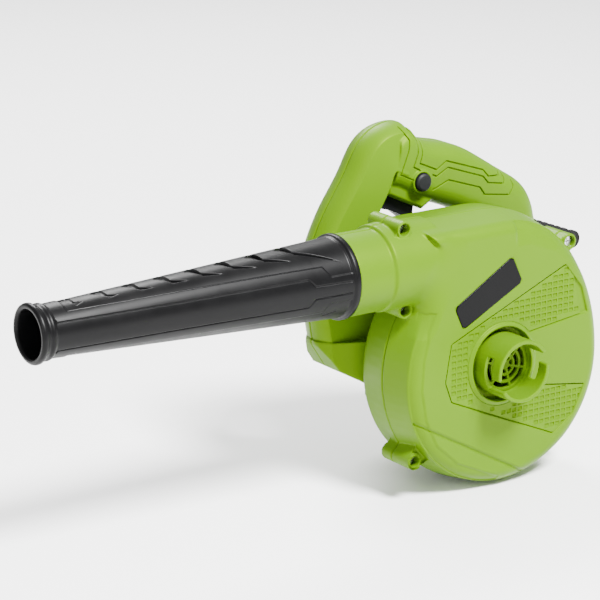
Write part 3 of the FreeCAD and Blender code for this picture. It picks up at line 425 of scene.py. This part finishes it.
def ring_points(radius, count=96):
    turns = [2 * math.pi * step / count for step in range(count)]
    return [(radius * math.cos(turn), radius * math.sin(turn)) for turn in turns]


# ---------------------------------------------------------------- housings

# Decorative grooves of the grip, on its front and mirrored on its back, as (x, z) in millimetres
LONG_GROOVE_TOP = [(-21, 153), (-17, 145.1), (-17.4, 138.8), (-20.1, 131), (-5.5, 124.6), (3, 129.8)]
LONG_GROOVE_END = [(36.4, 118.8), (40.9, 113.5), (51.5, 112.6), (52.6, 115)]
MIDDLE_GROOVE_TOP = [(-9, 121.4), (-5.4, 119.8), (4.5, 124.9), (35.9, 114.1), (40.6, 108.7)]
MIDDLE_GROOVE_END = [(55.2, 106.4), (56.8, 109.8), (55.6, 113)]
GRIP_GROOVES = [
    [(-32.6, 157), (-28.6, 148.5), (-30.2, 140.5), (-36.6, 125), (-27, 120.4)],
    [(-26, 155), (-20.9, 146.5), (-21.8, 138.5), (-25.6, 129), (-20.6, 126.5)],
    LONG_GROOVE_TOP + LONG_GROOVE_END,
    MIDDLE_GROOVE_TOP + MIDDLE_GROOVE_END,
    [(-8.4, 110.4), (5, 115.8), (33.2, 106.5), (37.4, 100.8), (59.4, 97.5), (64.7, 103.5), (63.8, 107)],
]
GROOVE_HALF = 0.6
GROOVE_DEPTH = 1.3
# Where the grip is, in metres, and how much its surface has to face along Y
GRIP_FRONT = (0.090, 0.1135)
GRIP_BACK = 0.1145
GRIP_FOOT = 0.09
GRIP_FACING = 0.12
SHELL_VOXEL = 0.6
SHELL_ROUNDS = 3
# Stations along Y where the cover meets the middle housing, and that meets the rear housing
SEAM = 54
SPLIT = 114
# Hollow corners between the duct and the snail, as (x, z), with their reach and rounds of relaxing
LOWER_VALLEY = ([(-44, 86), (-47, 80), (-56, 64), (-64, 50), (-68, 40)], 13, 400)
UPPER_VALLEY = ([(-64, 103), (-47, 84)], 5, 12)
VALLEY_BOSSES = [(-77.3, 104.7), (-73, 46.7)]
VALLEY_STRENGTH = 0.8
# Relaxing fades out over these distances before the seam and around a boss
SEAM_FADE = (9, 1)
BOSS_FADE = (6.5, 9.5)
# Edges of the facets on the cover's face, and how deep each facet sinks
FACE_EDGE = [(-52, 52), (-62, 32), (-67, 12), (-68.5, -8), (-64, -30), (-54, -50), (-36, -66)]
FACE_EDGE += [(-14, -76)]
FACE_EDGE_TOP = 45
FACE_EDGE_WIDE = 1.6
FACE_EDGE_SINK = 1.0
FACE_BACK = 36
FACE_FACING = (0.25, 0.6)  # how much the surface faces forward where a facet starts and is full
LOWER_STEP = ((-66.6, -32.8), (9.2, -74.5))
LOWER_STEP_WIDE = 2.6
LOWER_STEP_SINK = 1.5
FIELD_FOOT = ((-44.1, -20.8), (46.2, -59.8))
FIELD_FOOT_SLOPE = 0.05
FIELD_FOOT_SINK = 1.1
CROWN_EDGE = ((9.1, 82.2), (22.6, 82.2), (45.5, 73.7), (60, 62))
CROWN_START = (9, 13)
CROWN_SLOPE = 0.22
CROWN_SINK = 2.2


def front_of_grip(spots, normals):
    across = (spots[:, 1] > GRIP_FRONT[0]) & (spots[:, 1] < GRIP_FRONT[1])
    return across & (normals[:, 1] < -GRIP_FACING) & (spots[:, 2] > GRIP_FOOT)


def back_of_grip(spots, normals):
    return (spots[:, 1] > GRIP_BACK) & (normals[:, 1] > GRIP_FACING) & (spots[:, 2] > GRIP_FOOT)


def valley_share(mesh, route, reach):
    """How strongly the hollow corner along a route is relaxed: nothing at the seam or at a boss."""
    spots = points_of(mesh) / MM
    x, y, z = spots.T
    share = 1 - soft_step(line_distance(x, z, route), 0.5 * reach, reach)
    share *= 1 - soft_step(y, SEAM - SEAM_FADE[0], SEAM - SEAM_FADE[1])
    for boss_x, boss_z in VALLEY_BOSSES:
        share *= soft_step(np.hypot(x - boss_x, z - boss_z), *BOSS_FADE)
    return VALLEY_STRENGTH * share


def fill_valley(mesh, route, reach, rounds):
    spread_smooth(mesh, valley_share(mesh, route, reach), rounds)


def left_of(x, z, route):
    """Distances to the left of every run of a route, one row each."""
    return np.array([side_of(x, z, *ends) for ends in zip(route, route[1:])])


def face_relief(mesh):
    """Sinks the facets around the cover's flat face."""
    spots = points_of(mesh)
    x, y, z = spots.T / MM
    facing = soft_step(-normals_of(mesh)[:, 1], *FACE_FACING) * (y < FACE_BACK)
    outside = -left_of(x, z, FACE_EDGE).min(0)
    sink = FACE_EDGE_SINK * soft_step(outside, 0, FACE_EDGE_WIDE) * (x < 0) * (z < FACE_EDGE_TOP)
    step = -side_of(x, z, *LOWER_STEP)
    sink += LOWER_STEP_SINK * soft_step(step, 0, LOWER_STEP_WIDE)
    foot = -side_of(x, z, *FIELD_FOOT)
    sink += np.clip(foot * FIELD_FOOT_SLOPE, 0, FIELD_FOOT_SINK) * (step < LOWER_STEP_WIDE)
    crown = left_of(x, z, CROWN_EDGE).max(0)
    sink += np.clip(crown * CROWN_SLOPE, 0, CROWN_SINK) * soft_step(x, *CROWN_START)
    spots[:, 1] += sink * facing * MM
    set_points(mesh, spots)


def shell_mesh(node):
    return soft_copy(node, SHELL_VOXEL * MM, SHELL_ROUNDS)


def groove_grip(mesh, facing):
    routes = [in_metres(route) for route in GRIP_GROOVES]
    engrave(mesh, routes, GROOVE_HALF * MM, GROOVE_DEPTH * MM, facing)


def cover_mesh():
    mesh = shell_mesh("volute_cover")
    fill_valley(mesh, *LOWER_VALLEY)
    fill_valley(mesh, *UPPER_VALLEY)
    face_relief(mesh)
    part_line(mesh, SEAM * MM, -1)
    return mesh


def middle_mesh():
    mesh = shell_mesh("middle_housing")
    groove_grip(mesh, front_of_grip)
    part_line(mesh, SEAM * MM, 1)
    part_line(mesh, SPLIT * MM, -1)
    return mesh


def rear_mesh():
    mesh = shell_mesh("rear_housing")
    groove_grip(mesh, back_of_grip)
    part_line(mesh, SPLIT * MM, 1)
    return mesh


def add_housings():
    makers = {"volute_cover": cover_mesh, "middle_housing": middle_mesh, "rear_housing": rear_mesh}
    for shell, make in makers.items():
        piece = add_piece(shell + "_moulding", make(), "green_shell", "housing")
        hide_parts(shell)


# ---------------------------------------------------------------- small moulded pieces

# Voxel of each piece in millimetres
SOFT_PIECES = {
    "label_plate": 0.35,
    "inlet_grille": 0.35,
    "lock_button": 0.3,
    "trigger": 0.4,
    "cord_gland": 0.35,
    "brush_caps": 0.3,
    "impeller": 0.8,
    "cooling_fan": 0.6,
}
SOFT_ROUNDS = 2
PLAY = 0.2 * MM
SEAT_DEEP = 0.7 * MM
SEAT_MARGIN = 1.2 * MM  # how far the seat reaches beside its spring
SEAT_REACH = 1.5 * MM  # how far from the spring's end the sunk surface lies


def shortened(mesh, node):
    """Takes a little off the back end of the button, for play to the switch."""
    spots = points_of(mesh)
    spots[:, 1] = np.minimum(spots[:, 1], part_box(node)[1].y - PLAY)
    set_points(mesh, spots)


def spring_seat(mesh):
    """Sinks a shallow seat for the spring into the trigger."""
    low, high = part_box("trigger_spring")
    spots = points_of(mesh)
    middle = (low + high) / 2
    reach = np.hypot(spots[:, 0] - middle.x, spots[:, 1] - middle.y)
    under = np.abs(spots[:, 2] - low.z) < SEAT_REACH
    seat = (reach < (high.x - low.x) / 2 + SEAT_MARGIN) & under
    spots[seat, 2] -= SEAT_DEEP
    set_points(mesh, spots)


def add_soft_pieces():
    for node, voxel in SOFT_PIECES.items():
        mesh = soft_copy(node, voxel * MM, SOFT_ROUNDS)
        if node == "lock_button":
            shortened(mesh, node)
        if node == "trigger":
            spring_seat(mesh)
        piece = add_piece(node + "_moulding", mesh, SLOTS[node], BODY_OF[node])
        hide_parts(node)


# ---------------------------------------------------------------- textured field on the cover

# In millimetres; outlines are (x, z)
FACE_Y = 24
FIELD = [(54.2, 61.6), (-44.2, 20.9), (-48.9, -5.5), (-43.4, -20.2), (46.0, -58.8)]
FIELD += [(95, -58.8), (95, 61.6)]
WEDGE = [(8, 17.6), (66.9, 24.6), (95, 27.9), (95, -29.9), (73.2, -28.2), (42, -23.3), (0, -17)]
RING_R = 30.2
RING_CLEAR = 0.3
NOTCH_ROWS = range(-17, 18)
NOTCH_COLUMNS = range(-12, 20)
NOTCH_PITCH = (4.9, 4.3)
NOTCH_SIZE = (3.7, 3.1)
NOTCH_DEPTHS = (1.2, 0.75, 0.05, 0.75)  # at its corners, from the top left clockwise
NOTCH_LIFT = 0.3  # how far a notch's tool stands out of the plate
PLATE_TOP = FACE_Y + 0.6
PLATE_BACK = FACE_Y + 1.9
TOOL_FRONT = FACE_Y - 4
TOOL_BACK = FACE_Y + 6
# The snail's arcs inside its rounded rim: centre, radius and angles, and the corners that close them
LOWER_EDGE = (5, -4.5, 76.3, -66, 0)
UPPER_EDGE = (-38.4, -4.5, 119.3, 0, 34)
EDGE_CORNERS = [(54, 90), (-80, 90), (-80, -90)]


def edge_arc(x, z, radius, first, last, steps=24):
    turns = [math.radians(first + (last - first) * step / steps) for step in range(steps + 1)]
    return [(x + radius * math.cos(turn), z + radius * math.sin(turn)) for turn in turns]


def clipped(outline, border):
    """The part of an outline inside a border that bulges outwards and runs anticlockwise."""
    for start, end in zip(border, border[1:] + border[:1]):

        def side(spot):
            along, up = end[0] - start[0], end[1] - start[1]
            return along * (spot[1] - start[1]) - up * (spot[0] - start[0])

        kept = []
        for spot, following in zip(outline, outline[1:] + outline[:1]):
            here = side(spot)
            there = side(following)
            if here >= 0:
                kept.append(spot)
            if here * there < 0:
                share = here / (here - there)
                kept.append(tuple(a + (b - a) * share for a, b in zip(spot, following)))
        outline = kept
    return outline


def inside(outline, x, z):
    """Whether a point lies inside a closed outline."""
    count = 0
    for (x0, z0), (x1, z1) in zip(outline, outline[1:] + outline[:1]):
        if (z0 > z) != (z1 > z) and x < x0 + (z - z0) / (z1 - z0) * (x1 - x0):
            count += 1
    return count % 2 == 1


def in_field(outline, corners):
    """Whether a notch lies inside the outline, outside the wedge and clear of the ring."""
    if min(math.hypot(*corner) for corner in corners) < RING_R + RING_CLEAR:
        return False
    return all(inside(outline, *corner) and not inside(WEDGE, *corner) for corner in corners)


def add_notch(sketch, corners):
    """One closed tool with a sloping floor."""
    top = [sketch.verts.new((x * MM, (PLATE_TOP - NOTCH_LIFT) * MM, z * MM)) for x, z in corners]
    floor = []
    for (x, z), depth in zip(corners, NOTCH_DEPTHS):
        floor.append(sketch.verts.new((x * MM, (PLATE_TOP + depth) * MM, z * MM)))
    sketch.faces.new(top)
    sketch.faces.new((floor[0], floor[1], floor[3]))
    sketch.faces.new((floor[1], floor[2], floor[3]))
    for corner in range(4):
        following = (corner + 1) % 4
        sketch.faces.new((top[corner], top[following], floor[following], floor[corner]))


def notch_cutter(outline):
    """One mesh of shallow corner notches in rows, all inside the outline."""
    mesh = bpy.data.meshes.new("notches")
    sketch = bmesh.new()
    wide, tall = NOTCH_SIZE
    for row in NOTCH_ROWS:
        for column in NOTCH_COLUMNS:
            x = column * NOTCH_PITCH[0]
            z = row * NOTCH_PITCH[1]
            corners = [(x, z), (x + wide, z), (x + wide, z - tall), (x, z - tall)]
            if in_field(outline, corners):
                add_notch(sketch, corners)
    bmesh.ops.recalc_face_normals(sketch, faces=sketch.faces)
    sketch.to_mesh(mesh)
    sketch.free()
    return mesh


def add_field():
    border = edge_arc(*LOWER_EDGE) + edge_arc(*UPPER_EDGE)[1:] + EDGE_CORNERS
    outline = clipped(FIELD, border)
    plate = prism("field_plate", in_metres(outline), PLATE_TOP * MM, PLATE_BACK * MM)
    wedge = prism("field_wedge", in_metres(WEDGE), TOOL_FRONT * MM, TOOL_BACK * MM)
    ring = prism("field_ring", in_metres(ring_points(RING_R)), TOOL_FRONT * MM, TOOL_BACK * MM)
    mesh = carve(plate, wedge, ring, notch_cutter(outline))
    add_piece("cover_scale_field", mesh, "green_shell", "housing")


# ---------------------------------------------------------------- nozzle

# In millimetres and degrees from the top
NOZZLE_AXIS = (54, 75)
NOZZLE_COLUMNS = 480
SHARP_ANGLE = 75
CONE_FRONT = (-346, 17.7)
CONE_BACK = (-125, 28.1)
CONE_STEP = 0.5
CONE_PLAY = 0.1  # rings at least this close to the cone belong to its outside
BORE_FRONT = (-344, 16)
BORE_BACK = (-124, 22.7)
BORE_RINGS = 26
THIN_WALL = 0.6
SHINGLE_START = -327
SHINGLE_PITCH = 23.6
SHINGLE_HALF = 15  # to a shingle's corner
# Length of each shingle's tail and the turn where it ends; the last one is longer
SHINGLE_TAILS = [(6 + 2.4 * index, 19 + 3 * index) for index in range(7)] + [(32, 54)]
SHINGLE_DEPTH = 2.3
TAIL_RISE = 1.2  # how much shallower a tail gets
TAIL_WIDE = 4.2
RAMP_LENGTH = 9.5
RAMP_FLARE = 3
SOFT_EDGE = 0.9
BAND_SINK = 0.55
BAND_EDGE = 0.5
BAND_START = (0.8, 0.2)  # it sets in from this far before its first station to this far after
LINE_SINK = 0.65
SHORT_LINE_SINK = 0.6
LINE_HALF = (0.2, 0.6)  # a line is at full depth up to the first distance and gone at the second
RELIEF_END = (-126.5, -125.5)
# Panel lines down the side, as (station, degrees from the top)
PANEL_EDGE = [(-335.7, 37.5), (-291, 42.8), (-147.6, 54.2), (-142.6, 70.6), (-127, 70.7)]
PANEL_LINE = [(-345.5, 58.6), (-257, 65.5), (-160, 68.8), (-155.4, 80.5), (-127, 82)]
PANEL_FRONT = [(-351, 0), (-350, 22), (-345.5, 58.6)]
SHORT_LINE = [(-144.9, 134.4), (-136.2, 128.1)]


def cone_radius(station, ends=(CONE_FRONT, CONE_BACK)):
    (x0, r0), (x1, r1) = ends
    return r0 + (station - x0) / (x1 - x0) * (r1 - r0)


def soft_edged(distance):
    return soft_step(distance, 0, SOFT_EDGE)


def shingle_depth(station, arc_length):
    """How far the chevron cut-outs between the overlapping shingles lie below the surface."""
    depth = np.zeros(len(station))
    away = np.abs(arc_length)
    for index, (tail, turn) in enumerate(SHINGLE_TAILS):
        start = SHINGLE_START + SHINGLE_PITCH * index
        corner = cone_radius(start) * math.radians(SHINGLE_HALF)
        tip = cone_radius(start + tail) * math.radians(turn)
        along = station - start
        half = (corner + RAMP_FLARE) * (along + RAMP_LENGTH) / RAMP_LENGTH
        ramp = SHINGLE_DEPTH * (along + RAMP_LENGTH) / RAMP_LENGTH * soft_edged(half - away)
        on_ramp = (along > -RAMP_LENGTH) & (along < 0) & (away < half)
        depth = np.where(on_ramp, np.maximum(depth, ramp), depth)
        share = np.clip(along / tail, 0, 1)
        low = corner + (tip - corner) * share
        high = corner + TAIL_WIDE + (tip - corner - TAIL_WIDE) * share
        groove = (SHINGLE_DEPTH - TAIL_RISE * share) * soft_edged(np.minimum(away - low, high - away))
        on_tail = (along >= 0) & (along < tail) & (away > low) & (away < high)
        depth = np.where(on_tail, np.maximum(depth, groove), depth)
    return depth


def line_depth(station, arc, route):
    """Depth of a fine line, as a share, along a route of stations and degrees."""
    on_surface = [(x, math.radians(turn) * cone_radius(x)) for x, turn in route]
    return 1 - soft_step(line_distance(station, arc, on_surface), *LINE_HALF)


def nozzle_relief(station, degrees):
    """Change of the outer radius: sunk top band, side panel lines and shingles."""
    turned = (degrees + 180) % 360 - 180
    around = np.abs(turned)
    radius = cone_radius(station)
    folded = np.where(around > 90, 180 - around, around)
    arc = np.radians(folded) * radius
    edge_turn = np.interp(station, *zip(*PANEL_EDGE), left=0)
    first = PANEL_EDGE[0][0]
    band = soft_step(np.radians(edge_turn - folded) * radius, -BAND_EDGE, BAND_EDGE)
    band *= soft_step(station, first - BAND_START[0], first + BAND_START[1])
    relief = -BAND_SINK * band
    for route in (PANEL_LINE, PANEL_FRONT):
        relief -= LINE_SINK * line_depth(station, arc, route)
    relief -= SHORT_LINE_SINK * line_depth(station, np.radians(around) * radius, SHORT_LINE)
    relief -= shingle_depth(station, np.radians(turned) * radius)
    wall = radius - cone_radius(station, (BORE_FRONT, BORE_BACK))
    return np.maximum(relief, THIN_WALL - wall) * (1 - soft_step(station, *RELIEF_END))


def nozzle_profile():
    """Stations and radii from the mouth along the outside to the spigot and back inside."""
    front = [(-355.5, 15.9), (-357.3, 16.2), (-358, 17), (-357.9, 18.7), (-357.2, 19.7), (-356, 20.1)]
    front += [(-354.6, 20), (-353.6, 19.2), (-352.6, 18.5), (-351.6, 18.05), (-350.8, 18), (-350, 18.3)]
    front += [(-349.3, 18.75), (-348.2, 18.8), (-347.4, 18.5), (-346.8, 17.95)]
    cone = [(x, cone_radius(x)) for x in np.arange(CONE_FRONT[0], CONE_BACK[0], CONE_STEP)]
    back = [(-124.7, 28.3), (-124.3, 28.9), (-123.8, 29.3), (-123.2, 29.5), (-120.9, 29.5)]
    back += [(-120.4, 29.3), (-120.3, 28.9), (-120.3, 25.3), (-119.6, 25.1), (-97, 25.1)]
    back += [(-96.2, 24.9), (-96, 24.4), (-96, 23.1), (-96.3, 22.8), (-124, 22.7)]
    stations = np.linspace(BORE_BACK[0], BORE_FRONT[0], BORE_RINGS)[1:]
    bore = [(x, cone_radius(x, (BORE_FRONT, BORE_BACK))) for x in stations]
    return front + cone + back + bore


def add_nozzle():
    profile = nozzle_profile()
    columns = NOZZLE_COLUMNS
    stations = np.repeat([spot[0] for spot in profile], columns)
    radii = np.repeat([spot[1] for spot in profile], columns)
    degrees = np.tile(np.arange(columns) * 360 / columns, len(profile))
    on_cone = (stations > CONE_FRONT[0] - CONE_STEP) & (stations < CONE_BACK[0])
    outside = on_cone & (radii > cone_radius(stations) - CONE_PLAY)
    radii = radii + np.where(outside, nozzle_relief(stations, degrees), 0)
    turns = np.radians(degrees)
    across = NOZZLE_AXIS[0] - radii * np.sin(turns)
    up = NOZZLE_AXIS[1] + radii * np.cos(turns)
    spots = np.stack([stations, across, up], 1)
    faces = []
    rows = len(profile)
    for row in range(rows):
        following = (row + 1) % rows
        for column in range(columns):
            nearby = (column + 1) % columns
            here = (row * columns + column, row * columns + nearby)
            there = (following * columns + nearby, following * columns + column)
            faces.append(here + there)
    mesh = bpy.data.meshes.new("nozzle_shell")
    mesh.from_pydata((spots * MM).tolist(), [], faces)
    mesh.shade_smooth()
    mesh.set_sharp_from_angle(angle=math.radians(SHARP_ANGLE))
    piece = add_piece("nozzle_shell", mesh, "black_plastic", "nozzle")
    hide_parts("nozzle_tube")


add_housings()
add_soft_pieces()
add_field()
add_nozzle()

# ---------------------------------------------------------------- camera, lights and floor

CAMERA_AZIMUTH = math.radians(-34.81)
CAMERA_HEIGHT = math.radians(16.09)
CAMERA_DISTANCE = 2.0
CAMERA_TARGET = Vector((-0.150, 0.054, 0.0634))
LIGHT_TARGET = Vector((-0.1, 0.06, 0.04))
# Place, size and power of each light
LIGHTS = {
    "key": ((0.15, -1.3, 1.9), 0.7, 290),
    "fill": ((-1.7, -0.8, 0.9), 1.2, 22),
    "back": ((0.3, 1.6, 1.6), 1.2, 95),
}
FLOOR_GAP = 0.5 * MM
SKY_STRENGTH = 0.75


def add_camera():
    data = bpy.data.cameras.new("camera")
    data.lens = 180
    data.sensor_width = 36
    camera = bpy.data.objects.new("camera", data)
    bpy.context.scene.collection.objects.link(camera)
    flat = math.cos(CAMERA_HEIGHT)
    back_x = math.sin(CAMERA_AZIMUTH) * flat
    back_y = -math.cos(CAMERA_AZIMUTH) * flat
    back = Vector((back_x, back_y, math.sin(CAMERA_HEIGHT)))
    camera.location = CAMERA_TARGET + back * CAMERA_DISTANCE
    camera.rotation_euler = (-back).to_track_quat("-Z", "Y").to_euler()
    bpy.context.scene.camera = camera


def add_light(name, spot, size, power):
    data = bpy.data.lights.new(name, "AREA")
    data.shape = "DISK"
    data.size = size
    data.energy = power
    light = bpy.data.objects.new(name, data)
    bpy.context.scene.collection.objects.link(light)
    light.location = spot
    aim = LIGHT_TARGET - light.location
    light.rotation_euler = aim.to_track_quat("-Z", "Y").to_euler()


def add_floor():
    mesh = bpy.data.meshes.new("floor")
    sketch = bmesh.new()
    bmesh.ops.create_grid(sketch, x_segments=2, y_segments=2, size=8)
    sketch.to_mesh(mesh)
    sketch.free()
    floor = bpy.data.objects.new("floor", mesh)
    bpy.context.scene.collection.objects.link(floor)
    floor.location = (0, 0, cad_low.z - FLOOR_GAP)
    paint = Paint("floor", (0.9, 0.9, 0.9), 0.8)
    paint.mottle(scale=2, shade=0.985)
    mesh.materials.append(paint.material)


def add_sky():
    world = bpy.data.worlds.new("studio")
    world.use_nodes = True
    sky = world.node_tree.nodes["Background"]
    sky.inputs["Color"].default_value = (1, 1, 1, 1)
    sky.inputs["Strength"].default_value = SKY_STRENGTH
    bpy.context.scene.world = world


add_camera()
add_floor()
add_sky()
for light_name, (spot, size, power) in LIGHTS.items():
    add_light(light_name, spot, size, power)
